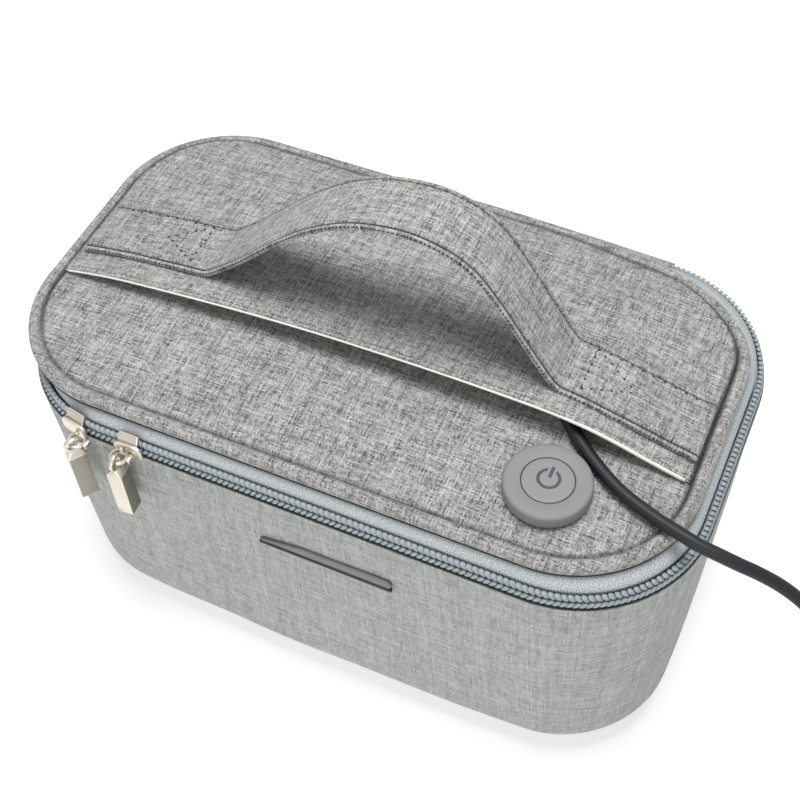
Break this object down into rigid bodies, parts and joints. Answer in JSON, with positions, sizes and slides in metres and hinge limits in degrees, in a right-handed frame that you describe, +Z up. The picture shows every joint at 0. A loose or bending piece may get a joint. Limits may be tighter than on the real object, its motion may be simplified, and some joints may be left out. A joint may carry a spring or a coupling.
{
  "type": "sterilizer case",
  "caption": "Soft-sided zipped case with moulded fabric body, domed lid with a pocket, strap handle, push button, lid lamps and a fixed cable with a coil and plug.",
  "frame": {"origin": "middle of the body's flat base, where it stands", "axes": "+X along the long side to the right seen from the front, +Y to the back where the lid is hinged, +Z up"},
  "size_m": [0.3575, 0.1618, 0.184],
  "materials": {
    "body_cloth": "soft melange linen-look cloth, pale grey, slightly green",
    "lid_cloth": "soft melange linen-look cloth, pale warm grey",
    "zip_tape": "woven zip tape, blue-grey",
    "zip_teeth": "nylon zip teeth, blue-grey",
    "lining": "foil-faced padded lining, silver",
    "edging": "woven edging tape, white",
    "badge": "soft grey moulded badge, bare",
    "button": "satin grey plastic",
    "slider": "satin champagne nickel, cast",
    "cord": "matt black cable jacket",
    "plug": "matt black moulded plug",
    "plug_metal": "nickel-plated steel shell",
    "plug_inner": "white plastic tongue",
    "board": "green circuit board",
    "lamp_body": "white ceramic lamp chip",
    "lamp_lens": "clear lens",
    "switch": "small sheet-metal switch can",
    "switch_plunger": "black plunger",
    "sensor": "black moulded sensor"
  },
  "bodies": {
    "case": {"body_shell": "body_cloth", "body_liner": "lining", "badge_plate": "badge", "hinge_lower": "body_cloth", "lower_tape": "zip_tape", "lower_teeth": "zip_teeth", "magnet_pod": "lining", "lead": "cord", "lead_coil": "cord", "plug_body": "plug", "plug_shell": "plug_metal", "plug_tongue": "plug_inner"},
    "lid": {"lid_panel": "lid_cloth", "lid_rim": "lid_cloth", "lid_liner": "lining", "upper_tape": "zip_tape", "upper_teeth": "zip_teeth", "hinge_upper": "body_cloth", "pocket_flap": "lid_cloth", "flap_edging": "edging", "handle_strap": "lid_cloth", "button_housing": "button", "tact_switch": "switch", "control_board": "board", "lamp_board": "board", "lamp_chips": "lamp_body", "lamp_lenses": "lamp_lens", "lid_sensor": "sensor", "lead_gland": "plug"},
    "button": {"button_cap": "button", "switch_plunger": "switch_plunger"},
    "slider_r": {"slider_right": "slider"},
    "slider_l": {"slider_left": "slider"},
    "pull_r": {"pull_right": "slider"},
    "pull_l": {"pull_left": "slider"}
  },
  "joints": [
    {"name": "lid_hinge", "type": "hinge", "parent": "case", "child": "lid", "pos_m": [0, 0.0742, 0.1132], "axis": [-1, 0, 0], "range_deg": [0, 105], "deforming": ["lead"]},
    {"name": "button_press", "type": "slide", "parent": "lid", "child": "button", "axis": [0, 0, -1], "range_m": [0, 0.0006], "stiffness_N_per_m": 1500},
    {"name": "right_slider", "type": "slide", "parent": "case", "child": "slider_r", "axis": [1, 0, 0], "range_m": [0, 0.128]},
    {"name": "left_slider", "type": "hinge", "parent": "case", "child": "slider_l", "pos_m": [-0.0742, -0.027, 0.1133], "axis": [0, 0, -1], "range_deg": [0, 75]},
    {"name": "right_pull", "type": "hinge", "parent": "slider_r", "child": "pull_r", "pos_m": [-0.062, -0.0788, 0.1119], "axis": [-1, 0, 0], "range_deg": [0, 100]},
    {"name": "left_pull", "type": "hinge", "parent": "slider_l", "child": "pull_l", "pos_m": [-0.08408, -0.07785, 0.1119], "axis": [-0.9816, 0.1908, 0], "range_deg": [0, 100]}
  ]
}
